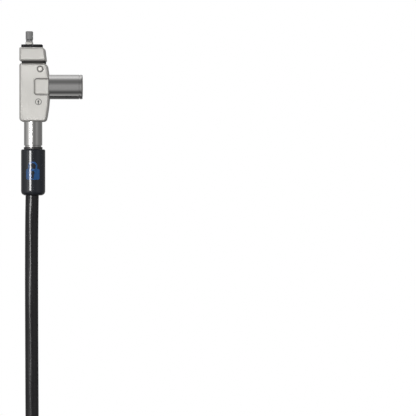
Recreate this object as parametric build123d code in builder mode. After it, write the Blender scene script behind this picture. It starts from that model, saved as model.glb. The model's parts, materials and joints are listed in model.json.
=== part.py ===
from build123d import *
from math import atan2, cos, pi, radians, sin, sqrt, tan
import os

# A laptop cable lock. Its T-bar goes into a security slot, a push on the barrel turns the T-bar across
# the slot, and a key lets the barrel out again. The cable hangs from a swivel under the body.
#
# Millimetres. The origin is on the T-bar's axis at the rubber pad's top face. +Z points out of the head
# along the T-bar, +X runs along the barrel towards the keyway, and -Y is the front.

os.makedirs("parts", exist_ok=True)

# Head, sized by the 3 x 7 mm security slot
SLOT_WIDTH = 3.0
BOSS_LENGTH = 6.6
BOSS_TOP = 1.1
TEE_LENGTH = 6.5
TEE_BOTTOM = 2.1
TEE_TOP = 5.6
STEM_RADIUS = 1.4
JOURNAL_RADIUS = 0.8
FLAT_Y = 0.6

# Housing, from the top down
LEFT = -4.0
HALF_DEPTH = 6.2
PAD_HALF_DEPTH = 4.9
COLLAR_TOP = -1.25
COLLAR_BOTTOM = -7.0
BODY_TOP = -8.0
BODY_BOTTOM = -32.5
EDGE_ROUND = 0.8
COVER_WIDTH = 9.2
COVER_HEIGHT = 7.3
SCREW_SPACING = (7.0, 5.4)
PIN_PLACE = (4.75, -10.4)
PIN_RADIUS = 0.95
PIN_RING = 1.5

# Barrel, along X
BARREL_Z = -17.85
BARREL_RADIUS = 5.15
BORE_RADIUS = 5.2
BORE_START = -3.25
BARREL_INNER = 4.85
BARREL_OUTER = 22.4
RIM_START = 21.1

# Rack and pinion: the pitch radius makes a full push turn the T-bar by a quarter
MODULE = 0.4
TEETH = 8
PITCH_RADIUS = MODULE * TEETH / 2
PITCH = pi * MODULE
PRESSURE_ANGLE = radians(20)
TOOTH_FILL = 0.84
PINION_ADDENDUM = 0.36
PINION_DEDENDUM = 0.3
RACK_ADDENDUM = 0.18
RACK_DEDENDUM = 0.44
RACK_Z = (-16.5, -14.2)

# Lock works inside the barrel
PLUG_RADIUS = 3.55
PLUG_BORE = 3.6
LATCH_X = 6.4
LATCH_RADIUS = 0.85
PEG_RADIUS = 0.35
PEG_DROP = 2.8
CAM_SLOPE = 0.38
CAM_X = (7.95, 8.75)
WAFER_XS = (12.0, 14.0, 16.0, 18.0, 20.0)

# Swivel and cable, about a vertical axis under the body
SWIVEL_X = 1.6
TUBE_RADIUS = 3.85
TUBE_TOP = -26.05
TUBE_BOTTOM = -43.1
TAIL_RADIUS = 3.0
TAIL_BOTTOM = -50.0
SLEEVE_RADIUS = 5.1
SLEEVE_TOP = -44.1
SLEEVE_BOTTOM = -63.5
CABLE_RADIUS = 2.8
CABLE_START = -52.2

# The cable's route: straight down, a quarter bend on to the surface, then a flat coil
SURFACE_Z = -200.0
LYING_Z = SURFACE_Z + CABLE_RADIUS
BEND_RUN = 17.6
COIL_RADIUS = 31.0
COIL_LAYERS = 3
COIL_BAND = COIL_LAYERS * 2 * CABLE_RADIUS
COIL_Y = 42.0
COIL_X = SWIVEL_X + COIL_RADIUS + 2 * CABLE_RADIUS
SWIVEL_AXIS = Axis((SWIVEL_X, 0, 0), (0, 0, 1))
SWIVEL_SECTION = Plane(origin=(SWIVEL_X, 0, 0), x_dir=(1, 0, 0), z_dir=(0, -1, 0))
COIL_AXIS = Axis((COIL_X, COIL_Y, 0), (0, 0, 1))
COIL_SECTION = Plane(origin=(COIL_X, COIL_Y, 0), x_dir=(1, 0, 0), z_dir=(0, -1, 0))


def rod(radius, start, end, mode=Mode.ADD):
    """Adds or cuts a cylinder that runs from one point to another."""
    along = Vector(*end) - Vector(*start)
    with Locations(Plane(origin=start, z_dir=along)):
        Cylinder(radius, along.length, align=(Align.CENTER, Align.CENTER, Align.MIN), mode=mode)


def block(xs, ys, zs, mode=Mode.ADD):
    """Adds or cuts a box between the two ends given along each axis."""
    with Locations(((xs[0] + xs[1]) / 2, (ys[0] + ys[1]) / 2, (zs[0] + zs[1]) / 2)):
        Box(xs[1] - xs[0], ys[1] - ys[0], zs[1] - zs[0], mode=mode)


def on_z(x, z, y=0.0):
    """A point on the vertical line through x and y."""
    return (x, y, z)


def on_barrel(x, y=0.0, up=0.0):
    """A point placed from the barrel's axis."""
    return (x, y, BARREL_Z + up)


def save(piece, label):
    """Names a finished piece and writes it."""
    piece.part.label = label
    export_step(piece.part, f"parts/{label}.step")


# ---- Housing ---------------------------------------------------------------------------------------

with BuildPart() as head_collar:
    with BuildSketch(Plane.XZ) as collar_face:
        with BuildLine():
            Polyline(
                (LEFT, COLLAR_BOTTOM),
                (7.3, COLLAR_BOTTOM),
                (6.55, COLLAR_TOP),
                (LEFT, COLLAR_TOP),
                close=True,
            )
        make_face()
        fillet(collar_face.vertices().group_by(Axis.Y)[-1].sort_by(Axis.X)[-1], 1.5)
        fillet(collar_face.vertices().sort_by(Axis.X)[:2], 0.5)
    extrude(amount=HALF_DEPTH, both=True)
    fillet(
        head_collar.edges().group_by(Axis.Y)[0] + head_collar.edges().group_by(Axis.Y)[-1],
        EDGE_ROUND,
    )
    with BuildSketch(Plane.XY.offset(COLLAR_TOP - 0.5)):
        RectangleRounded(SLOT_WIDTH, BOSS_LENGTH, 0.5)
    extrude(amount=BOSS_TOP - COLLAR_TOP + 0.5)
    fillet(head_collar.edges().group_by(Axis.Z)[-1], 0.25)
    block((-2, 2), (-1.5, 1.5), (COLLAR_TOP, BOSS_TOP + 1), Mode.SUBTRACT)
    block((2.6, 6.6), (-3, 3), (-12.2, COLLAR_BOTTOM + 0.5))
    rod(1.5, on_z(0, COLLAR_TOP + 0.1), on_z(0, COLLAR_BOTTOM), Mode.SUBTRACT)
    rod(2.1, on_z(0, -2.0), on_z(0, COLLAR_BOTTOM - 0.1), Mode.SUBTRACT)
    rod(PIN_RADIUS, (PIN_PLACE[0], -4, PIN_PLACE[1]), (PIN_PLACE[0], 4, PIN_PLACE[1]), Mode.SUBTRACT)
save(head_collar, "head_collar")

with BuildPart() as rubber_pad:
    with BuildSketch(Plane.XY.offset(COLLAR_TOP)) as pad_face:
        with Locations((1.15, 0)):
            RectangleRounded(8.9, 2 * PAD_HALF_DEPTH, 1.6)
        Rectangle(SLOT_WIDTH + 0.1, BOSS_LENGTH + 0.1, mode=Mode.SUBTRACT)
    extrude(amount=-COLLAR_TOP)
    fillet(rubber_pad.faces().sort_by(Axis.Z)[-1].outer_wire().edges(), 0.25)
save(rubber_pad, "rubber_pad")

with BuildPart() as collar_gasket:
    with BuildSketch(Plane.XY.offset(BODY_TOP)):
        with Locations((1.95, 0)):
            RectangleRounded(10.0, 2 * HALF_DEPTH - 1.6, 0.8)
        Circle(1.7, mode=Mode.SUBTRACT)
        with Locations((4.6, 0)):
            Rectangle(4.1, 6.1, mode=Mode.SUBTRACT)
    extrude(amount=COLLAR_BOTTOM - BODY_TOP)
save(collar_gasket, "collar_gasket")

with BuildPart() as lock_body:
    with BuildSketch(Plane.XZ) as body_face:
        with BuildLine():
            top_edge = Line((LEFT, BODY_TOP), (7.55, BODY_TOP))
            bulge = ThreePointArc(top_edge @ 1, (8.62, -18.4), (7.15, BODY_BOTTOM))
            bottom_edge = Line(bulge @ 1, (LEFT, BODY_BOTTOM))
            Line(bottom_edge @ 1, top_edge @ 0)
        make_face()
        fillet(body_face.vertices().group_by(Axis.Y)[-1].sort_by(Axis.X)[-1], 1.8)
        fillet(body_face.vertices().group_by(Axis.Y)[0], 1.6)
        fillet(body_face.vertices().group_by(Axis.Y)[-1].sort_by(Axis.X)[0], 0.8)
    extrude(amount=HALF_DEPTH, both=True)
    fillet(
        lock_body.edges().group_by(Axis.Y)[0] + lock_body.edges().group_by(Axis.Y)[-1],
        EDGE_ROUND,
    )
    # barrel bore, with the window for the insert and room behind it for the insert's ears
    rod(BORE_RADIUS, on_barrel(BORE_START), on_barrel(10), Mode.SUBTRACT)
    with BuildSketch(Plane.XZ.offset(HALF_DEPTH + 0.1)):
        with Locations((6.85, BARREL_Z)):
            RectangleRounded(10.0, 7.4, 1.3)
    extrude(amount=-2.7, mode=Mode.SUBTRACT)
    block((1.2, 8.0), (-4.65, -2.7), (BARREL_Z - 4.35, BARREL_Z + 4.35), Mode.SUBTRACT)
    block((-3.62, -3.0), (1.3, 3.2), (RACK_Z[0] - 0.1, RACK_Z[1] + 0.1), Mode.SUBTRACT)
    block((3.0, 7.5), (-0.95, 0.95), (BARREL_Z - 5.75, BARREL_Z - 4), Mode.SUBTRACT)
    # spindle hole, washer seat and lower bearing
    rod(STEM_RADIUS + 0.05, on_z(0, BODY_TOP + 0.1), on_z(0, -13.2), Mode.SUBTRACT)
    rod(2.3, on_z(0, -12.9), on_z(0, -13.6), Mode.SUBTRACT)
    rod(JOURNAL_RADIUS + 0.05, on_z(0, -22.5), on_z(0, -24.4), Mode.SUBTRACT)
    # pocket for the collar's tenon, and the cross pin's hole
    block((2.55, 6.65), (-3.05, 3.05), (-12.25, BODY_TOP + 0.1), Mode.SUBTRACT)
    rod(PIN_RADIUS + 0.02, (PIN_PLACE[0], -7, PIN_PLACE[1]), (PIN_PLACE[0], 7, PIN_PLACE[1]), Mode.SUBTRACT)
    for side in (-1, 1):
        rod(
            PIN_RING,
            (PIN_PLACE[0], side * 7, PIN_PLACE[1]),
            (PIN_PLACE[0], side * (HALF_DEPTH - 0.5), PIN_PLACE[1]),
            Mode.SUBTRACT,
        )
    # swivel bore, the slot of its clip, and the rear cover's pocket with its screw holes
    rod(TUBE_RADIUS + 0.05, on_z(SWIVEL_X, -25.5), on_z(SWIVEL_X, BODY_BOTTOM - 0.1), Mode.SUBTRACT)
    block((-3.0, 6.2), (-3.7, 5.3), (-28.95, -28.05), Mode.SUBTRACT)
    with BuildSketch(Plane.XZ.offset(-5.2)):
        with Locations((SWIVEL_X, -28.0)):
            RectangleRounded(COVER_WIDTH + 0.1, COVER_HEIGHT + 0.1, 1.0)
    extrude(amount=-1.5, mode=Mode.SUBTRACT)
    with Locations(Plane(origin=(SWIVEL_X, 5.3, -28.0), x_dir=(-1, 0, 0), z_dir=(0, 1, 0))):
        with GridLocations(*SCREW_SPACING, 2, 2):
            Cylinder(0.6, 2.0, align=(Align.CENTER, Align.CENTER, Align.MAX), mode=Mode.SUBTRACT)
save(lock_body, "lock_body")

with BuildPart() as rear_cover:
    with BuildSketch(Plane.XZ.offset(-5.2)):
        with Locations((SWIVEL_X, -28.0)):
            RectangleRounded(COVER_WIDTH, COVER_HEIGHT, 0.95)
    extrude(amount=-(HALF_DEPTH - 5.2))
    fillet(rear_cover.faces().sort_by(Axis.Y)[-1].edges(), 0.2)
    with Locations(Plane(origin=(SWIVEL_X, HALF_DEPTH, -28.0), x_dir=(-1, 0, 0), z_dir=(0, 1, 0))):
        with GridLocations(*SCREW_SPACING, 2, 2):
            CounterSinkHole(0.62, 1.0, counter_sink_angle=90)
save(rear_cover, "rear_cover")

with BuildPart() as cover_screws:
    with Locations(Plane(origin=(SWIVEL_X, HALF_DEPTH - 0.1, -28.0), x_dir=(-1, 0, 0), z_dir=(0, 1, 0))):
        with GridLocations(*SCREW_SPACING, 2, 2):
            Cone(0.6, 0.9, 0.3, align=(Align.CENTER, Align.CENTER, Align.MAX))
            Cylinder(0.6, 2.7, align=(Align.CENTER, Align.CENTER, Align.MAX))
            Box(1.3, 0.25, 0.15, align=(Align.CENTER, Align.CENTER, Align.MAX), mode=Mode.SUBTRACT)
            Box(0.25, 1.3, 0.15, align=(Align.CENTER, Align.CENTER, Align.MAX), mode=Mode.SUBTRACT)
save(cover_screws, "cover_screws")

with BuildPart() as side_insert:
    block((1.3, 7.9), (-4.6, -2.8), (BARREL_Z - 4.3, BARREL_Z + 4.3))
    with BuildSketch(Plane.XZ.offset(4.6)) as insert_face:
        with Locations((5.5, BARREL_Z)):
            Rectangle(5.6, 6.1)
        fillet(insert_face.vertices().group_by(Axis.X)[0], 0.75)
    extrude(amount=HALF_DEPTH - 4.6)
    fillet(side_insert.faces().sort_by(Axis.Y)[0].edges(), 0.25)
    with BuildSketch(Plane.XZ.offset(4.5)) as insert_flange:
        with Locations((5.0, BARREL_Z)):
            Rectangle(6.2, 7.3)
        fillet(insert_flange.vertices().group_by(Axis.X)[0], 1.25)
    extrude(amount=1.05)
    rod(BORE_RADIUS + 0.05, on_barrel(0), on_barrel(10), Mode.SUBTRACT)
save(side_insert, "side_insert")

with BuildPart() as cross_pin:
    rod(PIN_RADIUS, (PIN_PLACE[0], -HALF_DEPTH, PIN_PLACE[1]), (PIN_PLACE[0], HALF_DEPTH, PIN_PLACE[1]))
    chamfer(cross_pin.edges().filter_by(GeomType.CIRCLE), 0.15)
save(cross_pin, "cross_pin")

# ---- T-bar spindle ---------------------------------------------------------------------------------

with BuildPart() as spindle_bush:
    rod(2.1, on_z(0, -2.0), on_z(0, COLLAR_BOTTOM))
    rod(STEM_RADIUS + 0.05, on_z(0, -1.9), on_z(0, COLLAR_BOTTOM - 0.1), Mode.SUBTRACT)
save(spindle_bush, "spindle_bush")

with BuildPart() as spindle_washer:
    rod(2.2, on_z(0, -12.95), on_z(0, -13.4))
    rod(STEM_RADIUS + 0.05, on_z(0, -12.9), on_z(0, -13.5), Mode.SUBTRACT)
save(spindle_washer, "spindle_washer")

with BuildPart() as t_bar:
    with BuildSketch(Plane.XY.offset(TEE_BOTTOM)):
        SlotOverall(TEE_LENGTH, SLOT_WIDTH, rotation=90)
    extrude(amount=TEE_TOP - TEE_BOTTOM)
    fillet(t_bar.edges().group_by(Axis.Z)[-1], 0.35)
    fillet(t_bar.edges().group_by(Axis.Z)[0], 0.15)
    rod(STEM_RADIUS, on_z(0, TEE_BOTTOM), on_z(0, -13.45))
    rod(JOURNAL_RADIUS, on_z(0, -13.45), on_z(0, -24.3))
    block((-2, 2), (FLAT_Y, 2), (-17.6, -13.45), Mode.SUBTRACT)
    with BuildSketch(Plane.XY.offset(-17.2)):
        Circle(1.0)
        Circle(0.5, mode=Mode.SUBTRACT)
    extrude(amount=0.4, mode=Mode.SUBTRACT)
save(t_bar, "t_bar")


def tooth_outline():
    """Half of an involute tooth pointing along +X, from root to tip, then its mirror image."""
    base = PITCH_RADIUS * cos(PRESSURE_ANGLE)
    tip = PITCH_RADIUS + PINION_ADDENDUM
    lean = TOOTH_FILL * pi / (2 * TEETH) + tan(PRESSURE_ANGLE) - PRESSURE_ANGLE
    flank = [((PITCH_RADIUS - PINION_DEDENDUM - 0.1), lean)]
    steps = 6
    for step in range(steps + 1):
        radius = base + (tip - base) * step / steps
        roll = sqrt(max((radius / base) ** 2 - 1, 0))
        flank.append((radius, lean - roll + atan2(roll, 1)))
    upper = [(r * cos(a), r * sin(a)) for r, a in flank]
    return [(x, -y) for x, y in upper] + upper[::-1]


with BuildPart() as spindle_pinion:
    with BuildSketch(Plane.XY.offset(RACK_Z[0])):
        Circle(PITCH_RADIUS - PINION_DEDENDUM)
        with PolarLocations(0, TEETH):
            Polygon(*tooth_outline(), align=None)
        Circle(JOURNAL_RADIUS + 0.01, mode=Mode.SUBTRACT)
        with Locations((0, FLAT_Y + 0.25)):
            Rectangle(1.1, 0.48)
    extrude(amount=-13.5 - RACK_Z[0])
save(spindle_pinion, "spindle_pinion")

with BuildPart() as spindle_clip:
    with BuildSketch(Plane.XY.offset(-17.15)):
        Circle(1.5)
        Circle(0.52, mode=Mode.SUBTRACT)
        with Locations((-1.0, 0)):
            Rectangle(2.0, 0.9, mode=Mode.SUBTRACT)
    extrude(amount=0.3)
save(spindle_clip, "spindle_clip")

# ---- Barrel ----------------------------------------------------------------------------------------

SCREW_PLACES = [(4.1, -1.4), (4.1, 0.9)]

with BuildPart() as barrel_shell:
    rod(BARREL_RADIUS, on_barrel(BARREL_INNER + 0.6), on_barrel(RIM_START))
    chamfer(barrel_shell.edges().filter_by(GeomType.CIRCLE).group_by(Axis.X)[-1], 0.15)
    rod(PLUG_BORE, on_barrel(0), on_barrel(8.8), Mode.SUBTRACT)
    rod(2.6, on_barrel(8), on_barrel(10), Mode.SUBTRACT)
    rod(PLUG_BORE, on_barrel(9.3), on_barrel(25), Mode.SUBTRACT)
    rod(LATCH_RADIUS + 0.05, on_barrel(LATCH_X), on_barrel(LATCH_X, up=-6), Mode.SUBTRACT)
    for y, up in SCREW_PLACES:
        rod(0.45, on_barrel(5, y, up), on_barrel(8.5, y, up), Mode.SUBTRACT)
save(barrel_shell, "barrel_shell")

with BuildPart() as barrel_rim:
    rod(BARREL_RADIUS, on_barrel(RIM_START + 0.2), on_barrel(BARREL_OUTER))
    fillet(barrel_rim.edges().filter_by(GeomType.CIRCLE).group_by(Axis.X)[-1], 0.35)
    chamfer(barrel_rim.edges().filter_by(GeomType.CIRCLE).group_by(Axis.X)[0], 0.12)
    rod(4.85, on_barrel(RIM_START), on_barrel(RIM_START + 0.3))
    rod(4.25, on_barrel(RIM_START + 0.1), on_barrel(25), Mode.SUBTRACT)
    rod(PLUG_BORE, on_barrel(20), on_barrel(25), Mode.SUBTRACT)
save(barrel_rim, "barrel_rim")

with BuildPart() as barrel_end_plate:
    rod(BARREL_RADIUS, on_barrel(BARREL_INNER), on_barrel(BARREL_INNER + 0.6))
    for y, up in SCREW_PLACES:
        rod(0.45, on_barrel(4, y, up), on_barrel(6, y, up), Mode.SUBTRACT)
save(barrel_end_plate, "barrel_end_plate")

with BuildPart() as rack_slider:
    block((4.05, BARREL_INNER), (2.3, 5.1), (BARREL_Z - 2.4, BARREL_Z + 3.65))
    rod(5.0, on_barrel(4), on_barrel(5), Mode.INTERSECT)
    for y, up in SCREW_PLACES:
        rod(0.45, on_barrel(4, y, up), on_barrel(6, y, up), Mode.SUBTRACT)
    with BuildSketch(Plane.XY.offset(RACK_Z[0])):
        with BuildLine():
            Polyline(
                (-1.0, PITCH_RADIUS + RACK_DEDENDUM),
                (BARREL_INNER, PITCH_RADIUS + RACK_DEDENDUM),
                (BARREL_INNER, 3.1),
                (-1.0, 3.1),
                close=True,
            )
        make_face()
        half = TOOTH_FILL * PITCH / 4
        at_tip = half - RACK_ADDENDUM * tan(PRESSURE_ANGLE)
        at_root = half + RACK_DEDENDUM * tan(PRESSURE_ANGLE)
        for tooth in range(4):
            centre = (tooth - 0.5) * PITCH
            reach = max(centre - at_root, -1.0)
            with BuildLine():
                Polyline(
                    (reach, PITCH_RADIUS + RACK_DEDENDUM),
                    (centre - at_tip, PITCH_RADIUS - RACK_ADDENDUM),
                    (centre + at_tip, PITCH_RADIUS - RACK_ADDENDUM),
                    (centre + at_root, PITCH_RADIUS + RACK_DEDENDUM),
                    close=True,
                )
            make_face()
    extrude(amount=RACK_Z[1] - RACK_Z[0])
save(rack_slider, "rack_slider")

with BuildPart() as slider_screws:
    for y, up in SCREW_PLACES:
        rod(0.8, on_barrel(3.45, y, up), on_barrel(4.05, y, up))
        rod(0.45, on_barrel(4.05, y, up), on_barrel(8.3, y, up))
        block((3.3, 3.65), (y - 0.9, y + 0.9), (BARREL_Z + up - 0.12, BARREL_Z + up + 0.12), Mode.SUBTRACT)
save(slider_screws, "slider_screws")


def spring_path(start, direction, radius, length, turns):
    """A helix that starts beside the given point and runs along the direction."""
    return Helix(length / turns, length, radius, center=start, direction=direction)


with BuildPart() as return_spring:
    with BuildLine() as return_path:
        spring_path(on_barrel(BORE_START + 0.2, -2.9, -1.5), (1, 0, 0), 0.95, 7.7, 8)
    with BuildSketch(Plane(origin=return_path.line @ 0, z_dir=return_path.line % 0)):
        Circle(0.17)
    sweep()
save(return_spring, "return_spring")

# ---- Lock works ------------------------------------------------------------------------------------

with BuildPart() as lock_plug:
    rod(PLUG_RADIUS, on_barrel(9.35), on_barrel(22.0))
    rod(4.2, on_barrel(RIM_START + 0.15), on_barrel(22.0))
    chamfer(lock_plug.edges().filter_by(GeomType.CIRCLE).group_by(Axis.X)[-1], 0.2)
    rod(2.55, on_barrel(CAM_X[1]), on_barrel(9.4))
    block((CAM_X[0], 9), (-1.2, 1.2), (BARREL_Z - 1.2, BARREL_Z + 1.2))
    block((10.5, 23), (-0.65, 0.65), (BARREL_Z - 2.6, BARREL_Z + 2.6), Mode.SUBTRACT)
    for x in WAFER_XS:
        block((x - 0.35, x + 0.35), (-1.5, 1.5), (BARREL_Z - 4, BARREL_Z + 3.2), Mode.SUBTRACT)
    rod(0.6, on_barrel(7), on_barrel(10.2), Mode.SUBTRACT)
save(lock_plug, "lock_plug")

with BuildPart() as wafer_tumblers:
    for x in WAFER_XS:
        block((x - 0.3, x + 0.3), (-1.45, 1.45), (BARREL_Z - 3.2, BARREL_Z + 2.1))
        block((x - 0.4, x + 0.4), (-0.7, 0.7), (BARREL_Z - 2.3, BARREL_Z + 1.4), Mode.SUBTRACT)
save(wafer_tumblers, "wafer_tumblers")

with BuildPart() as tumbler_springs:
    for x in WAFER_XS:
        rod(0.28, on_barrel(x, 0.9, 2.1), on_barrel(x, 0.9, 3.2))
save(tumbler_springs, "tumbler_springs")


def cam_slot(side):
    """Points along one wall of the cam's slot, which comes closer to the axis at an even rate."""
    points = []
    for degrees in range(-10, 101, 10):
        distance = PEG_DROP - CAM_SLOPE * radians(degrees) + side * (PEG_RADIUS + 0.1)
        angle = radians(-90 - degrees)
        points.append((distance * cos(angle), distance * sin(angle)))
    return points


with BuildPart() as lock_cam:
    with BuildSketch(Plane.YZ.offset(CAM_X[0])):
        with Locations((0, BARREL_Z)):
            Circle(PLUG_RADIUS)
            Rectangle(2.44, 2.44, mode=Mode.SUBTRACT)
    extrude(amount=CAM_X[1] - CAM_X[0])
    with BuildSketch(Plane(origin=on_barrel(CAM_X[0] - 0.1), x_dir=(0, 1, 0), z_dir=(1, 0, 0))):
        with BuildLine():
            outer_wall = Spline(*cam_slot(1))
            inner_wall = Spline(*cam_slot(-1))
            Line(outer_wall @ 0, inner_wall @ 0)
            Line(outer_wall @ 1, inner_wall @ 1)
        make_face()
    extrude(amount=1, mode=Mode.SUBTRACT)
save(lock_cam, "lock_cam")

with BuildPart() as cam_screw:
    rod(1.6, on_barrel(7.45), on_barrel(CAM_X[0]))
    rod(0.6, on_barrel(7.5), on_barrel(10.2))
    block((7.3, 7.65), (-1.3, 1.3), (BARREL_Z - 0.15, BARREL_Z + 0.15), Mode.SUBTRACT)
save(cam_screw, "cam_screw")

with BuildPart() as latch_pin:
    rod(LATCH_RADIUS, on_barrel(LATCH_X, up=-1.2), on_barrel(LATCH_X, up=-5.65))
    chamfer(latch_pin.edges().group_by(Axis.Z)[0], 0.2)
    rod(PEG_RADIUS, on_barrel(LATCH_X, up=-PEG_DROP), on_barrel(CAM_X[1] - 0.05, up=-PEG_DROP))
save(latch_pin, "latch_pin")

with BuildPart() as latch_spring:
    with BuildLine() as latch_path:
        spring_path(on_barrel(LATCH_X, up=-1.05), (0, 0, 1), 0.5, 4.4, 8)
    with BuildSketch(Plane(origin=latch_path.line @ 0, z_dir=latch_path.line % 0)):
        Circle(0.12)
    sweep()
save(latch_spring, "latch_spring")

# ---- Swivel ----------------------------------------------------------------------------------------

with BuildPart() as swivel_washer:
    rod(3.8, on_z(SWIVEL_X, -25.5), on_z(SWIVEL_X, -26.0))
save(swivel_washer, "swivel_washer")

with BuildPart() as swivel_clip:
    block((-2.9, 6.1), (-3.6, 5.1), (-28.9, -28.1))
    fillet(swivel_clip.edges().filter_by(Axis.Z), 0.8)
    block((SWIVEL_X - 3.3, SWIVEL_X + 3.3), (-5, 0), (-29, -28), Mode.SUBTRACT)
    rod(3.3, on_z(SWIVEL_X, -29), on_z(SWIVEL_X, -28), Mode.SUBTRACT)
save(swivel_clip, "swivel_clip")

with BuildPart() as swivel_tube:
    with BuildSketch(SWIVEL_SECTION):
        with BuildLine():
            Polyline(
                (0, TUBE_TOP),
                (TUBE_RADIUS, TUBE_TOP),
                (TUBE_RADIUS, -28.0),
                (3.25, -28.0),
                (3.25, -29.0),
                (TUBE_RADIUS, -29.0),
                (TUBE_RADIUS, -30.4),
                (3.25, -30.4),
                (3.25, -31.1),
                (TUBE_RADIUS, -31.1),
                (TUBE_RADIUS, TUBE_BOTTOM + 0.75),
                (TUBE_RADIUS - 0.1, TUBE_BOTTOM + 0.6),
                (TUBE_RADIUS - 0.4, TUBE_BOTTOM + 0.6),
                (TUBE_RADIUS - 0.4, TUBE_BOTTOM),
                (TAIL_RADIUS, TUBE_BOTTOM),
                (TAIL_RADIUS, TAIL_BOTTOM),
                (2.05, TAIL_BOTTOM),
                (2.05, -36.0),
                (0, -36.0),
                close=True,
            )
        make_face()
    revolve(axis=SWIVEL_AXIS)
save(swivel_tube, "swivel_tube")

with BuildPart() as tube_o_ring:
    with Locations((SWIVEL_X, 0, -30.75)):
        Torus(3.55, 0.3)
save(tube_o_ring, "tube_o_ring")

with BuildPart() as crimp_ring:
    rod(3.95, on_z(SWIVEL_X, TUBE_BOTTOM), on_z(SWIVEL_X, SLEEVE_TOP))
    fillet(crimp_ring.edges().filter_by(GeomType.CIRCLE), 0.25)
    rod(TAIL_RADIUS, on_z(SWIVEL_X, -43), on_z(SWIVEL_X, -45), Mode.SUBTRACT)
save(crimp_ring, "crimp_ring")

with BuildPart() as cable_sleeve:
    with BuildSketch(SWIVEL_SECTION):
        with BuildLine():
            inside = Polyline(
                (3.5, SLEEVE_BOTTOM),
                (CABLE_RADIUS + 0.05, SLEEVE_BOTTOM),
                (CABLE_RADIUS + 0.05, CABLE_START + 1.5),
                (TAIL_RADIUS, CABLE_START + 2),
                (TAIL_RADIUS, SLEEVE_TOP),
                (SLEEVE_RADIUS, SLEEVE_TOP),
                (SLEEVE_RADIUS, SLEEVE_BOTTOM + 2),
            )
            Spline(inside @ 1, inside @ 0, tangents=((0, -1), (-1, -0.25)))
        make_face()
    revolve(axis=SWIVEL_AXIS)
    fillet(cable_sleeve.edges().filter_by(GeomType.CIRCLE).group_by(Axis.Z)[-1].sort_by(SortBy.RADIUS)[-1], 0.6)
save(cable_sleeve, "cable_sleeve")

with BuildPart() as wire_rope_end:
    rod(2.0, on_z(SWIVEL_X, -36.1), on_z(SWIVEL_X, CABLE_START))
save(wire_rope_end, "wire_rope_end")

# ---- Cable -----------------------------------------------------------------------------------------

TURN = radians(30)
STEP_LONG = BEND_RUN * cos(TURN)
STEP_SHORT = BEND_RUN * sin(TURN)
BEND_TOP = LYING_Z + STEP_LONG + STEP_SHORT
CABLE_ROUTE = [
    (SWIVEL_X, 0, CABLE_START),
    (SWIVEL_X, 0, BEND_TOP),
    (SWIVEL_X, STEP_SHORT, BEND_TOP - STEP_LONG),
    (SWIVEL_X, STEP_SHORT + STEP_LONG, LYING_Z),
    (SWIVEL_X, COIL_Y, LYING_Z),
]


def corner_radii(points):
    """The largest arc that each corner of a route leaves room for."""
    spots = [Vector(*point) for point in points]
    radii = []
    for before, corner, after in zip(spots, spots[1:], spots[2:]):
        turn = radians((corner - before).get_angle(after - corner))
        shorter = min((corner - before).length, (after - corner).length)
        radii.append(0.45 * shorter / tan(turn / 2))
    return radii


RADII = corner_radii(CABLE_ROUTE)

with BuildPart() as cable_run:
    with BuildLine() as route:
        FilletPolyline(*CABLE_ROUTE, radius=RADII)
    with BuildSketch(Plane(origin=route.line @ 0, z_dir=route.line % 0)):
        Circle(CABLE_RADIUS)
    sweep()
save(cable_run, "cable_run")
print("cable arcs", [round(radius, 1) for radius in RADII], "diameter", 2 * CABLE_RADIUS)
run_length = sum(edge.length for edge in route.edges())
print("cable run volume over section times length", cable_run.part.volume / (pi * CABLE_RADIUS**2 * run_length))

with BuildPart() as cable_coil:
    with BuildSketch(COIL_SECTION):
        with Locations((COIL_RADIUS, SURFACE_Z + COIL_BAND / 2)):
            RectangleRounded(COIL_BAND, COIL_BAND, 2.4)
    revolve(axis=COIL_AXIS)
save(cable_coil, "cable_coil")

TIE_THICKNESS = 0.8
TIE_WIDTH = 9.0
TIE_SAG = 0.5

with BuildPart() as cable_tie:
    with BuildSketch(Plane.YZ.offset(COIL_X - TIE_WIDTH / 2)):
        with Locations((COIL_Y + COIL_RADIUS - TIE_SAG / 2, SURFACE_Z + COIL_BAND / 2)):
            RectangleRounded(COIL_BAND + TIE_SAG + 2 * TIE_THICKNESS, COIL_BAND + 2 * TIE_THICKNESS, 3.0)
            RectangleRounded(COIL_BAND + TIE_SAG, COIL_BAND, 2.2, mode=Mode.SUBTRACT)
    extrude(amount=TIE_WIDTH)
save(cable_tie, "cable_tie")

FERRULE_LENGTH = 14.0

with BuildPart() as loop_ferrule:
    with BuildSketch(Plane.XZ.offset(FERRULE_LENGTH / 2 - COIL_Y)):
        with Locations((COIL_X + COIL_RADIUS - CABLE_RADIUS, LYING_Z + 4 * CABLE_RADIUS)):
            SlotOverall(13.6, 7.4)
    extrude(amount=-FERRULE_LENGTH)
    fillet(loop_ferrule.edges().group_by(Axis.Y)[0] + loop_ferrule.edges().group_by(Axis.Y)[-1], 0.7)
save(loop_ferrule, "loop_ferrule")
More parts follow.
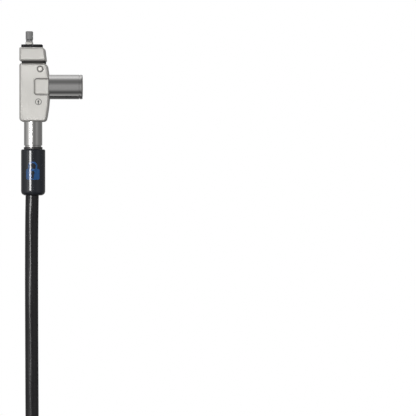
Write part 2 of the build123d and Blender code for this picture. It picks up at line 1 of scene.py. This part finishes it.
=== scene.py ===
import bpy
import json
from math import cos, pi, radians, sin
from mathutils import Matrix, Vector


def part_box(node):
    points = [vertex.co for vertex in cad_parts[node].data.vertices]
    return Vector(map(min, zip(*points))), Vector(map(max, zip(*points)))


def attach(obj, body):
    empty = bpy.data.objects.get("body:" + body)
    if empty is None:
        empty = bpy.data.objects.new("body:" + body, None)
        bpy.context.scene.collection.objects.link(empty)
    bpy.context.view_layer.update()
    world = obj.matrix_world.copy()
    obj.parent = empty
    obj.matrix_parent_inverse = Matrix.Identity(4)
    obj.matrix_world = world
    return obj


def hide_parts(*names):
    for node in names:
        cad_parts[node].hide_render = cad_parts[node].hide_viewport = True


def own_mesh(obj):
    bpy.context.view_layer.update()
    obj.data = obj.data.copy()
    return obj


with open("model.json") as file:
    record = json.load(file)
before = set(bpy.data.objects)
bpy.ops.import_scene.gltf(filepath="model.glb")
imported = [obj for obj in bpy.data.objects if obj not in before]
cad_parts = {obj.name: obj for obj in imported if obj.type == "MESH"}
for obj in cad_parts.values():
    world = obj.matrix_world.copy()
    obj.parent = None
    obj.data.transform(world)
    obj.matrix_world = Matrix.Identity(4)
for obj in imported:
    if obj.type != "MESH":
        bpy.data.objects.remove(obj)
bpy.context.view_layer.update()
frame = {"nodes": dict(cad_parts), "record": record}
nodes = frame["nodes"]
MM = 0.001

# ---- Places worked out from the frame ----------------------------------------------------------------


def middle(node):
    """The middle of a CAD node's box at rest."""
    low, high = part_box(node)
    return (Vector(low) + Vector(high)) / 2


SLEEVE_LOW, SLEEVE_HIGH = [Vector(corner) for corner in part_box("cable_sleeve")]
COIL_LOW, COIL_HIGH = [Vector(corner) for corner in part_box("cable_coil")]
SWIVEL_X = middle("cable_sleeve").x
SURFACE_Z = COIL_LOW.z
FLOOR_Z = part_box("cable_tie")[0][2]

# ---- Camera ------------------------------------------------------------------------------------------

VIEW_DISTANCE = 2.0
VIEW_WIDTH = 0.1747
VIEW_MIDDLE = (75.25 * MM, -68.8 * MM)
FRONT_FACE_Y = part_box("lock_body")[0][1]
SENSOR = 36.0

camera_data = bpy.data.cameras.new("camera")
camera_data.sensor_width = SENSOR
camera_data.lens = SENSOR * VIEW_DISTANCE / VIEW_WIDTH
camera = bpy.data.objects.new("camera", camera_data)
camera.location = (VIEW_MIDDLE[0], FRONT_FACE_Y - VIEW_DISTANCE, VIEW_MIDDLE[1])
camera.rotation_euler = (radians(90), 0, 0)
bpy.context.collection.objects.link(camera)
bpy.context.scene.camera = camera
bpy.context.scene.view_settings.view_transform = "Standard"

# ---- World: white behind, soft bands of light and dark for the metal to mirror -------------------------


class Nodes:
    """Adds nodes to a tree and links them, so that a material reads as a list of steps."""

    def __init__(self, tree):
        self.tree = tree
        tree.nodes.clear()

    def add(self, kind, inputs=(), **settings):
        node = self.tree.nodes.new(kind)
        for name, value in settings.items():
            setattr(node, name, value)
        for name, value in dict(inputs).items():
            socket = node.inputs[name]
            if isinstance(value, bpy.types.NodeSocket):
                self.tree.links.new(value, socket)
            else:
                socket.default_value = value
        return node

    def math(self, operation, first, second=0.0):
        node = self.add("ShaderNodeMath", {0: first, 1: second}, operation=operation)
        return node.outputs[0]

    def ramp(self, factor, stops):
        """A colour ramp whose stops are (place, brightness)."""
        node = self.add("ShaderNodeValToRGB", {"Fac": factor})
        elements = node.color_ramp.elements
        while len(elements) < len(stops):
            elements.new(0.5)
        for element, (place, value) in zip(elements, stops):
            element.position = place
            element.color = (value, value, value, 1)
        return node.outputs["Color"]


# Brightness by direction: degrees round from the camera's side, then degrees up.
AROUND = [
    (-180, 0.26),
    (-108, 0.21),
    (-88, 0.33),
    (-71, 0.42),
    (-14, 0.42),
    (-3, 0.31),
    (10, 0.17),
    (26, 0.17),
    (45, 0.27),
    (60, 0.23),
    (77, 0.16),
    (110, 0.15),
    (180, 0.26),
]
UP = [
    (-90, 1.10),
    (-76, 0.75),
    (-62, 0.30),
    (-51, 0.21),
    (-41, 0.42),
    (-30, 0.80),
    (-20, 1.00),
    (14, 1.05),
    (26, 0.78),
    (36, 0.54),
    (46, 0.46),
    (56, 0.50),
    (66, 0.60),
    (78, 0.94),
    (90, 1.50),
]


def light_world():
    """White for the camera and bands for reflections. The fill lights do the rest."""
    world = bpy.data.worlds.new("studio")
    bpy.context.scene.world = world
    world.use_nodes = True
    world.cycles_visibility.diffuse = False
    n = Nodes(world.node_tree)
    direction = n.add("ShaderNodeTexCoord").outputs["Generated"]
    xyz = n.add("ShaderNodeSeparateXYZ", {"Vector": direction}).outputs
    towards_camera = n.math("MULTIPLY", xyz["Y"], -1.0)
    around = n.math("ARCTAN2", xyz["X"], towards_camera)
    up = n.math("ARCSINE", xyz["Z"])
    around_place = n.math("ADD", n.math("DIVIDE", around, 2 * pi), 0.5)
    up_place = n.math("ADD", n.math("DIVIDE", up, pi), 0.5)
    around_light = n.ramp(around_place, [(a / 360 + 0.5, v) for a, v in AROUND])
    up_light = n.ramp(up_place, [(a / 180 + 0.5, v / 2) for a, v in UP])
    product = n.math("MULTIPLY", around_light, up_light)
    # a ramp holds no value over 1, so the bands are halved in it and doubled here
    bands = n.add("ShaderNodeBackground", {"Color": product, "Strength": 2.0})
    white = n.add("ShaderNodeBackground", {"Color": (1, 1, 1, 1), "Strength": 1.0})
    seen = n.add("ShaderNodeLightPath").outputs["Is Camera Ray"]
    mix = n.add("ShaderNodeMixShader", {"Fac": seen, 1: bands.outputs[0], 2: white.outputs[0]})
    n.add("ShaderNodeOutputWorld", {"Surface": mix.outputs[0]})


light_world()


LIT_POINT = Vector((10 * MM, 0, -40 * MM))


def softbox(name, round_deg, up_deg, distance, size, power, glossy=True, diffuse=True):
    """A rectangular light that faces the lock from a direction counted like the world's bands."""
    away = Vector(
        (
            sin(radians(round_deg)) * cos(radians(up_deg)),
            -cos(radians(round_deg)) * cos(radians(up_deg)),
            sin(radians(up_deg)),
        )
    )
    data = bpy.data.lights.new(name, "AREA")
    data.shape = "RECTANGLE"
    data.size, data.size_y = size
    data.energy = power
    light = bpy.data.objects.new(name, data)
    light.location = LIT_POINT + away * distance
    light.rotation_euler = away.to_track_quat("Z", "Y").to_euler()
    light.visible_glossy = glossy
    light.visible_diffuse = diffuse
    bpy.context.collection.objects.link(light)
    return light


strip_light = softbox("strip", -26, 0, 1.0, (0.27, 0.14), 1.7, diffuse=False)
left_glow = softbox("left_glow", -36, 0, 1.1, (1.0, 0.9), 1.4, diffuse=False)
softbox("rear_top", 180, 62, 1.5, (1.5, 1.5), 3.2)
softbox("front_fill", -4, 8, 1.2, (0.5, 0.5), 14.5, glossy=False)
softbox("top_fill", 0, 90, 1.2, (0.5, 0.5), 11.0, glossy=False)
softbox("rear_fill", 180, 15, 1.2, (0.5, 0.5), 8.0, glossy=False)
softbox("left_fill", -105, 10, 1.2, (0.5, 0.5), 2.5, glossy=False)
softbox("right_fill", 100, 10, 1.2, (0.5, 0.5), 4.0, glossy=False)

CASTINGS = ("head_collar", "lock_body", "side_insert", "cross_pin")


def link_castings(light, state):
    """Keeps a light to the satin castings, or off them."""
    receivers = bpy.data.collections.new(light.name + "_receivers")
    for name in CASTINGS:
        receivers.objects.link(nodes[name])
    for link in receivers.collection_objects:
        link.light_linking.link_state = state
    light.light_linking.receiver_collection = receivers


# the satin pieces mirror one light of their own, and not the two that draw the bright lines on the black
casting_glow = softbox("casting_glow", -2, 1.5, 1.2, (0.36, 0.36), 1.02, diffuse=False)
link_castings(casting_glow, "INCLUDE")
link_castings(strip_light, "EXCLUDE")
link_castings(left_glow, "EXCLUDE")

# ---- Materials ---------------------------------------------------------------------------------------

FINE = 1 / MM


def shade(colour, factor):
    """The colour made lighter or darker, with its alpha."""
    return tuple(min(1.0, channel * factor) for channel in colour[:3]) + (1.0,)


def make_material(
    name,
    colour,
    roughness,
    metallic=0.0,
    grain=(2.0, 2.0, 2.0),
    spread=0.05,
    rough_spread=0.06,
    bump=0.0,
    coat=0.0,
):
    """A surface whose colour, roughness and relief vary with a grain given in cycles per millimetre."""
    material = bpy.data.materials.new(name)
    material.use_nodes = True
    n = Nodes(material.node_tree)
    place = n.add("ShaderNodeTexCoord").outputs["Object"]
    scaled = n.add("ShaderNodeMapping", {"Vector": place, "Scale": [g * FINE for g in grain]})
    noise = n.add(
        "ShaderNodeTexNoise",
        {"Vector": scaled.outputs[0], "Scale": 1.0, "Detail": 5.0, "Roughness": 0.6},
    ).outputs["Fac"]
    cloud = n.add("ShaderNodeTexNoise", {"Vector": place, "Scale": 90.0, "Detail": 3.0}).outputs["Fac"]
    mottle = n.math("ADD", n.math("MULTIPLY", noise, 0.6), n.math("MULTIPLY", cloud, 0.4))
    tint = n.add(
        "ShaderNodeMix",
        {"Factor": mottle, 6: shade(colour, 1 - 2 * spread), 7: shade(colour, 1 + 2 * spread)},
        data_type="RGBA",
    ).outputs[2]
    rough = n.add(
        "ShaderNodeMapRange",
        {
            "Value": mottle,
            "From Min": 0.3,
            "From Max": 0.7,
            "To Min": max(0.02, roughness - rough_spread),
            "To Max": roughness + rough_spread,
        },
    ).outputs[0]
    surface = n.add(
        "ShaderNodeBsdfPrincipled",
        {
            "Base Color": tint,
            "Roughness": rough,
            "Metallic": metallic,
            "Coat Weight": coat,
            "Coat Roughness": 0.04,
        },
    )
    if bump:
        relief = n.add(
            "ShaderNodeBump", {"Height": noise, "Strength": 1.0, "Distance": bump * MM}
        ).outputs[0]
        n.tree.links.new(relief, surface.inputs["Normal"])
    n.add("ShaderNodeOutputMaterial", {"Surface": surface.outputs[0]})
    return material


SATIN_NICKEL = make_material(
    "satin_nickel",
    (0.70, 0.685, 0.65),
    0.42,
    metallic=0.75,
    grain=(3.0, 3.0, 0.25),
    spread=0.03,
    bump=0.006,
)
PAD_RUBBER = make_material(
    "pad_rubber", (0.012, 0.012, 0.013), 0.7, grain=(4, 4, 4), spread=0.2, bump=0.02
)
GASKET_RUBBER = make_material(
    "gasket_rubber", (0.02, 0.018, 0.017), 0.6, grain=(4, 4, 4), spread=0.2, bump=0.02
)
HARD_STEEL = make_material(
    "hardened_steel", (0.23, 0.23, 0.23), 0.6, metallic=0.2, grain=(1.5, 1.5, 6), spread=0.12, bump=0.008
)
PIN_STEEL = make_material(
    "pin_steel", (0.62, 0.60, 0.57), 0.35, metallic=0.8, grain=(5, 1, 5), spread=0.08, bump=0.004
)
DARK_CHROME = make_material(
    "dark_chrome",
    (0.86, 0.85, 0.84),
    0.12,
    metallic=1.0,
    grain=(0.4, 3, 3),
    spread=0.02,
    rough_spread=0.03,
)
POLISHED = make_material(
    "polished_steel",
    (0.90, 0.89, 0.87),
    0.10,
    metallic=1.0,
    grain=(3, 3, 0.4),
    spread=0.02,
    rough_spread=0.03,
)
CRIMP = make_material(
    "crimp_metal", (0.16, 0.155, 0.155), 0.35, metallic=0.9, grain=(3, 3, 3), spread=0.1, bump=0.01
)
BRASS = make_material(
    "brass_works", (0.62, 0.44, 0.18), 0.3, metallic=1.0, grain=(1, 4, 4), spread=0.06, bump=0.004
)
SPRING = make_material("spring_steel", (0.5, 0.5, 0.5), 0.3, metallic=1.0, grain=(4, 4, 4), spread=0.08)
BLACK_GLOSS = make_material(
    "black_gloss",
    (0.012, 0.014, 0.019),
    0.16,
    grain=(0.6, 0.6, 0.2),
    spread=0.2,
    rough_spread=0.03,
    coat=0.6,
)
ROPE_STEEL = make_material(
    "wire_rope", (0.45, 0.45, 0.45), 0.35, metallic=1.0, grain=(5, 5, 1), spread=0.2, bump=0.05
)
STRAP = make_material(
    "tie_fabric", (0.016, 0.016, 0.018), 0.85, grain=(5, 5, 5), spread=0.35, bump=0.08
)
BLUE_PRINT = make_material(
    "blue_print",
    (0.012, 0.065, 0.19),
    0.2,
    grain=(1.5, 1.5, 1.5),
    spread=0.15,
    rough_spread=0.04,
    coat=0.6,
)
ETCHED = make_material("etched", (0.09, 0.088, 0.084), 0.6, grain=(5, 5, 5), spread=0.2)
# painted shade: a dark grey laid at the bottom of the gaps as their shadow
GAP_SHADE_PAINT = make_material("painted_gap_shade", (0.20, 0.195, 0.185), 0.6, grain=(5, 5, 5), spread=0.2)

STRANDS = 6
LAY_TURNS = 50


def make_sheath():
    """Satin black vinyl over a stranded rope: the strands print through as a faint long helix."""
    material = bpy.data.materials.new("cable_vinyl")
    material.use_nodes = True
    n = Nodes(material.node_tree)
    uv = n.add("ShaderNodeTexCoord").outputs["UV"]
    split = n.add("ShaderNodeSeparateXYZ", {"Vector": uv}).outputs
    along = n.math("MULTIPLY", split["X"], LAY_TURNS * 2 * pi * STRANDS)
    around = n.math("MULTIPLY", split["Y"], 2 * pi * STRANDS)
    strands = n.math("SINE", n.math("ADD", along, around))
    place = n.add("ShaderNodeTexCoord").outputs["Object"]
    grit = n.add("ShaderNodeTexNoise", {"Vector": place, "Scale": 1.6 * FINE, "Detail": 4.0}).outputs["Fac"]
    height = n.math("ADD", n.math("MULTIPLY", strands, 0.5), n.math("MULTIPLY", grit, 0.03))
    relief = n.add("ShaderNodeBump", {"Height": height, "Strength": 1.0, "Distance": 0.05 * MM})
    tint = n.add(
        "ShaderNodeMix",
        {"Factor": grit, 6: (0.007, 0.0068, 0.0075, 1), 7: (0.022, 0.021, 0.0225, 1)},
        data_type="RGBA",
    ).outputs[2]
    rough = n.add(
        "ShaderNodeMapRange",
        {"Value": grit, "From Min": 0.3, "From Max": 0.7, "To Min": 0.15, "To Max": 0.22},
    ).outputs[0]
    surface = n.add(
        "ShaderNodeBsdfPrincipled",
        {"Base Color": tint, "Roughness": rough, "Normal": relief.outputs[0], "Specular IOR Level": 0.45},
    )
    n.add("ShaderNodeOutputMaterial", {"Surface": surface.outputs[0]})
    return material


SHEATH = make_sheath()

BY_SLOT = {
    "satin_nickel": SATIN_NICKEL,
    "pad_rubber": PAD_RUBBER,
    "gasket_rubber": GASKET_RUBBER,
    "hardened_steel": HARD_STEEL,
    "pin_steel": PIN_STEEL,
    "dark_chrome": DARK_CHROME,
    "polished_steel": POLISHED,
    "crimp_metal": CRIMP,
    "brass_works": BRASS,
    "spring_steel": SPRING,
    "black_gloss": BLACK_GLOSS,
    "cable_vinyl": SHEATH,
    "wire_rope": ROPE_STEEL,
    "tie_fabric": STRAP,
}

for part in frame["record"]["subparts"]:
    shown = nodes[part["node"]]
    shown.data.materials.clear()
    shown.data.materials.append(BY_SLOT[part["material_slot"]])

# ---- Tie ---------------------------------------------------------------------------------------------


def make_piece(name, mesh_data, material, smooth=True):
    """A new object from (vertices, faces)."""
    vertices, faces = mesh_data
    mesh = bpy.data.meshes.new(name)
    mesh.from_pydata([tuple(v) for v in vertices], [], faces)
    mesh.polygons.foreach_set("use_smooth", [smooth] * len(mesh.polygons))
    mesh.materials.append(material)
    piece = bpy.data.objects.new(name, mesh)
    bpy.context.collection.objects.link(piece)
    return piece


STRAP_THICK = 0.7 * MM
STRAP_CORNER = 2.2 * MM
STRAP_OVERLAP = 12 * MM
# the loose end stands off by this much, and narrows to this share of the width, a step at a time
TAIL_LIFT = 0.6 * MM
TAIL_WIDTH = 0.72
TAIL_STEP = 0.14
# the strap's section, from edge to edge and through its thickness, as shares of its width and thickness
STRAP_SECTION = [
    (-0.5, -0.3),
    (-0.47, -0.5),
    (0.47, -0.5),
    (0.5, -0.3),
    (0.5, 0.3),
    (0.47, 0.5),
    (-0.47, 0.5),
    (-0.5, 0.3),
]
CORNER_STEPS = 8


def strap_path(low, high, corner, overlap):
    """Once round the bundle from the middle of its outer side, and on over the start by the overlap.

    Each point is a place across and up, with the direction that faces away from the bundle."""
    centre = (low + high) / 2
    half_y = (high.y - low.y) / 2 - corner
    half_z = (high.z - low.z) / 2 - corner
    path = [((high.y, centre.z), (1, 0))]
    for quarter in range(4):
        corner_y = half_y * (1, -1, -1, 1)[quarter]
        corner_z = half_z * (1, 1, -1, -1)[quarter]
        for step in range(CORNER_STEPS + 1):
            angle = pi / 2 * (quarter + step / CORNER_STEPS)
            out = (cos(angle), sin(angle))
            place = (centre.y + corner_y + corner * out[0], centre.z + corner_z + corner * out[1])
            path.append((place, out))
    for step in range(CORNER_STEPS + 1):
        share = step / CORNER_STEPS
        # it climbs on to the first layer in a third of the overlap, and its last quarter stands off
        rise = STRAP_THICK * min(1.0, 3 * share)
        lift = TAIL_LIFT * max(0.0, share - 0.75) * 4
        place = (high.y + rise + lift, low.z + corner + share * overlap)
        path.append((place, (1, 0)))
    return path


def make_tie():
    """A fabric strap round the bundle, whose loose end narrows over its last two steps."""
    low, high = [Vector(corner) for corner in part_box("cable_tie")]
    inset = Vector((0, STRAP_THICK / 2, STRAP_THICK / 2))
    path = strap_path(low + inset, high - inset, STRAP_CORNER, STRAP_OVERLAP)
    middle_x, width = (low.x + high.x) / 2, high.x - low.x
    vertices, faces = [], []
    for index, ((y, z), (out_y, out_z)) in enumerate(path):
        tail = min(1.0, TAIL_WIDTH + TAIL_STEP * (len(path) - 1 - index))
        for across, thick in STRAP_SECTION:
            vertices.append(
                (
                    middle_x + across * width * tail,
                    y + thick * STRAP_THICK * out_y,
                    z + thick * STRAP_THICK * out_z,
                )
            )
    ring = len(STRAP_SECTION)
    for index in range(len(path) - 1):
        for side in range(ring):
            a = index * ring + side
            b = index * ring + (side + 1) % ring
            faces.append((a, b, b + ring, a + ring))
    faces.append(tuple(reversed(range(ring))))
    faces.append(tuple(range((len(path) - 1) * ring, len(path) * ring)))
    return make_piece("coil_tie", (vertices, faces), STRAP)


tie = make_tie()
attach(tie, "swivel")
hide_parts("cable_tie")

# ---- Cable -------------------------------------------------------------------------------------------

CABLE_RADIUS = 2.8 * MM
# the hanging stretch and the bend on to the surface, in millimetres
ROUTE = [
    (1.6, 0, -52.2),
    (0.8, 0, -64.0),
    (1.1, 0, -155.6),
    (1.3, 0, -173.15),
    (1.6, 8.8, -188.4),
    (1.6, 24.04, -197.2),
]

COIL_MIDDLE = middle("cable_coil")
COIL_RADIUS = (COIL_HIGH.x - COIL_LOW.x) / 2 - 3 * CABLE_RADIUS
PITCH = 2 * CABLE_RADIUS
POINTS_PER_TURN = 16
# each turn's column, counted from the middle of the bundle outwards, and its layer
TURNS = [(1, 0), (0, 0), (-1, 0), (-1, 1), (0, 1), (1, 1), (1, 2), (0, 2), (-1, 2)]
STEP_START = 0.55
# where a turn climbs to the next layer it swings clear of its neighbours by this share of a diameter
SWING = 0.25
FERRULE_TURN = 8.5
END_TURN = FERRULE_TURN + 0.03


def coil_point(turn):
    """A point of the wound cable after that many turns.

    In the last part of each turn it steps over to the place of the next one."""
    whole = int(turn)
    part = turn - whole
    step = max(0.0, (part - STEP_START) / (1 - STEP_START))
    ease = step * step * (3 - 2 * step)
    here = TURNS[whole]
    there = TURNS[min(whole + 1, len(TURNS) - 1)]
    swing = SWING * sin(pi * ease) * (there[1] - here[1]) * here[0]
    column = here[0] + (there[0] - here[0]) * ease + swing
    layer = here[1] + (there[1] - here[1]) * ease
    radius = (COIL_RADIUS + column * PITCH) / cos(pi / POINTS_PER_TURN) ** 0.5
    angle = pi - 2 * pi * turn
    return (
        COIL_MIDDLE.x + radius * cos(angle),
        COIL_MIDDLE.y + radius * sin(angle),
        SURFACE_Z + CABLE_RADIUS + layer * PITCH,
    )


def make_cable():
    """One open spline: the route, then every turn of the coil."""
    points = [tuple(c * MM for c in point) for point in ROUTE]
    steps = int(END_TURN * POINTS_PER_TURN)
    points += [coil_point(step / POINTS_PER_TURN) for step in range(steps)]
    points.append(coil_point(END_TURN))
    curve = bpy.data.curves.new("cable", "CURVE")
    curve.dimensions = "3D"
    spline = curve.splines.new("NURBS")
    spline.points.add(len(points) - 1)
    for control, point in zip(spline.points, points):
        control.co = (*point, 1)
    spline.order_u = 3
    spline.use_endpoint_u = True
    spline.resolution_u = 8
    spline.use_smooth = True
    curve.bevel_depth = CABLE_RADIUS
    curve.bevel_resolution = 8
    curve.use_fill_caps = True
    cable = bpy.data.objects.new("cable", curve)
    bpy.context.collection.objects.link(cable)
    curve.materials.append(SHEATH)
    return cable


cable = make_cable()
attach(cable, "swivel")
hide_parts("cable_run", "cable_coil")

# ---- Springs -----------------------------------------------------------------------------------------


def make_spring(name, node, body):
    """A copy of a CAD spring that rides on the given body, in place of the CAD node, which is hidden."""
    spring = bpy.data.objects.new(name, nodes[node].data.copy())
    bpy.context.collection.objects.link(spring)
    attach(spring, body)
    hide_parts(node)
    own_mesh(spring)


make_spring(
    "return_coil", "return_spring", "housing"
)
make_spring(
    "latch_coil", "latch_spring", "barrel"
)

# ---- Generic marks -----------------------------------------------------------------------------------


def arc_band(centre, inner, outer, start, end, steps):
    """A flat ring or arc: rows of (across, up) pairs that quads join."""
    rows = []
    for step in range(steps + 1):
        angle = start + (end - start) * step / steps
        rows.append([(centre[0] + r * cos(angle), centre[1] + r * sin(angle)) for r in (inner, outer)])
    return rows


def strip(xs, zs):
    """A flat rectangle."""
    return [[(xs[0], z), (xs[1], z)] for z in zs]


QUADS_UP = 4


def upright_band(xs, low, high, steps):
    """A flat shape given by its width and by its lowest and highest point at each place across."""
    rows = []
    for step in range(steps + 1):
        x = xs[0] + (xs[1] - xs[0]) * step / steps
        height = high(x) - low(x)
        rows.append([(x, low(x) + height * part / QUADS_UP) for part in range(QUADS_UP + 1)])
    return rows


def rounded(half_width, middle_z, half_height, corner):
    """Two functions: the lowest and the highest point of a rounded rectangle at each place across."""

    def reach(x):
        past = max(0.0, abs(x) - (half_width - corner))
        return half_height - corner + (corner**2 - min(past, corner) ** 2) ** 0.5

    return lambda x: middle_z - reach(x), lambda x: middle_z + reach(x)


def bands_mesh(bands, place):
    """Joins each band's rows with quads, with every point put on the surface that place() describes."""
    vertices, faces = [], []
    for rows in bands:
        for row_index, row in enumerate(rows):
            start = len(vertices)
            vertices += [place(x, z) for x, z in row]
            if row_index:
                for k in range(len(row) - 1):
                    last = start - len(row) + k
                    faces.append((last, start + k, start + k + 1, last + 1))
    return vertices, faces


def on_sleeve(lift):
    """Wraps a flat shape round the front of the sleeve, that many millimetres off it."""
    radius = (SLEEVE_HIGH.x - SLEEVE_LOW.x) / 2 + lift * MM

    def place(x, z):
        angle = x * MM / radius
        return (SWIVEL_X + radius * sin(angle), -radius * cos(angle), z * MM)

    return place


def on_front(lift):
    """Lays a flat shape on the body's front face, that many millimetres off it."""
    return lambda x, z: (x * MM, FRONT_FACE_Y - lift * MM, z * MM)


def keyhole(x, z, size):
    """A round head over a slot that widens downwards."""
    slot = [
        [(x + side * 0.3 * size, z - 1.6 * size), (x + side * 0.22 * size, z)]
        for side in (-1, 1)
    ]
    return [arc_band((x, z), 0.0, 0.5 * size, 0, 2 * pi, 24), slot]


# a padlock on the sleeve, in millimetres
SIGN_Z = -54.6
CASE_HALF_WIDTH, CASE_HALF_HEIGHT, CASE_CORNER = 3.0, 2.3, 0.8
SHACKLE_INNER, SHACKLE_OUTER = 1.25, 1.95
SHACKLE_FOOT, SHACKLE_BEND = SIGN_Z + 2.0, SIGN_Z + 3.4
shackle = [
    arc_band((0, SHACKLE_BEND), SHACKLE_INNER, SHACKLE_OUTER, 0, pi, 20),
    strip((-SHACKLE_OUTER, -SHACKLE_INNER), (SHACKLE_FOOT, SHACKLE_BEND)),
    strip((SHACKLE_INNER, SHACKLE_OUTER), (SHACKLE_FOOT, SHACKLE_BEND)),
]
case_ends = rounded(CASE_HALF_WIDTH, SIGN_Z, CASE_HALF_HEIGHT, CASE_CORNER)
case = [upright_band((-CASE_HALF_WIDTH, CASE_HALF_WIDTH), *case_ends, 30)]
sleeve_sign = make_piece("sleeve_sign", bands_mesh(shackle + case, on_sleeve(0.02)), BLUE_PRINT)
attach(sleeve_sign, "swivel")
keyhole_mesh = bands_mesh(keyhole(0, SIGN_Z + 0.6, 1.6), on_sleeve(0.04))
sleeve_keyhole = make_piece("sleeve_keyhole", keyhole_mesh, BLACK_GLOSS)
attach(sleeve_keyhole, "swivel")

# a keyhole in a ring, on the body
MARK_AT = (4.0, -24.2)
MARK_INNER, MARK_OUTER = 1.1, 1.36
mark = [arc_band(MARK_AT, MARK_INNER, MARK_OUTER, 0, 2 * pi, 40)]
mark += keyhole(MARK_AT[0], MARK_AT[1] + 0.25, 0.75)
body_mark = make_piece("body_mark", bands_mesh(mark, on_front(0.01)), ETCHED, smooth=False)
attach(body_mark, "housing")

# dark sheets at the bottom of the gaps round the insert and round the pin's head: painted shade that stands
# for the shadow in the gaps
INSERT_SHADE_LIFT = -0.64
PIN_SHADE_LIFT = -0.49
PIN_AT = middle("cross_pin") / MM
BARREL_Z = middle("barrel_shell").z / MM
# the insert's two left corners, and how far from their centres the painted shade starts and ends
CORNER_X, CORNER_UP = 3.45, 2.3
GAP_SHADE_INNER, GAP_SHADE_OUTER = 0.88, 1.32
GAP_SHADE_END = 8.05
PIN_SHADE_INNER, PIN_SHADE_OUTER = 1.0, 1.45
upright = (CORNER_X - GAP_SHADE_OUTER, CORNER_X - GAP_SHADE_INNER)
insert_shade_rows = [strip(upright, (BARREL_Z - CORNER_UP, BARREL_Z + CORNER_UP))]
for side, start in ((1, pi / 2), (-1, pi)):
    corner_z = BARREL_Z + side * CORNER_UP
    insert_shade_rows.append(arc_band((CORNER_X, corner_z), GAP_SHADE_INNER, GAP_SHADE_OUTER, start, start + pi / 2, 10))
    insert_shade_rows.append(strip((CORNER_X, GAP_SHADE_END), (corner_z + side * GAP_SHADE_INNER, corner_z + side * GAP_SHADE_OUTER)))
# painted shade in the gap round the insert, and in a ring round the pin's head
insert_painted_shade = make_piece("insert_painted_shade", bands_mesh(insert_shade_rows, on_front(INSERT_SHADE_LIFT)), GAP_SHADE_PAINT, smooth=False)
pin_shade_ring = [arc_band((PIN_AT.x, PIN_AT.z), PIN_SHADE_INNER, PIN_SHADE_OUTER, 0, 2 * pi, 40)]
pin_painted_shade = make_piece("pin_painted_shade", bands_mesh(pin_shade_ring, on_front(PIN_SHADE_LIFT)), GAP_SHADE_PAINT, smooth=False)
for piece in (insert_painted_shade, pin_painted_shade):
    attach(piece, "housing")

# ---- Floor -------------------------------------------------------------------------------------------

FLOOR_HALF = 0.3


def make_floor():
    """A pale square under the coil, which neither shows in the metal nor lights it from below."""
    mesh = bpy.data.meshes.new("floor")
    middle_x, middle_y = COIL_MIDDLE.x, COIL_MIDDLE.y
    corners = [
        (middle_x + sx * FLOOR_HALF, middle_y + sy * FLOOR_HALF, FLOOR_Z)
        for sx, sy in ((-1, -1), (1, -1), (1, 1), (-1, 1))
    ]
    mesh.from_pydata(corners, [], [(0, 1, 2, 3)])
    floor = bpy.data.objects.new("floor", mesh)
    bpy.context.collection.objects.link(floor)
    mesh.materials.append(
        make_material("floor_paint", (0.86, 0.86, 0.86), 0.7, grain=(0.1, 0.1, 0.1), spread=0.01)
    )
    floor.visible_glossy = False
    floor.visible_diffuse = False
    return floor


make_floor()
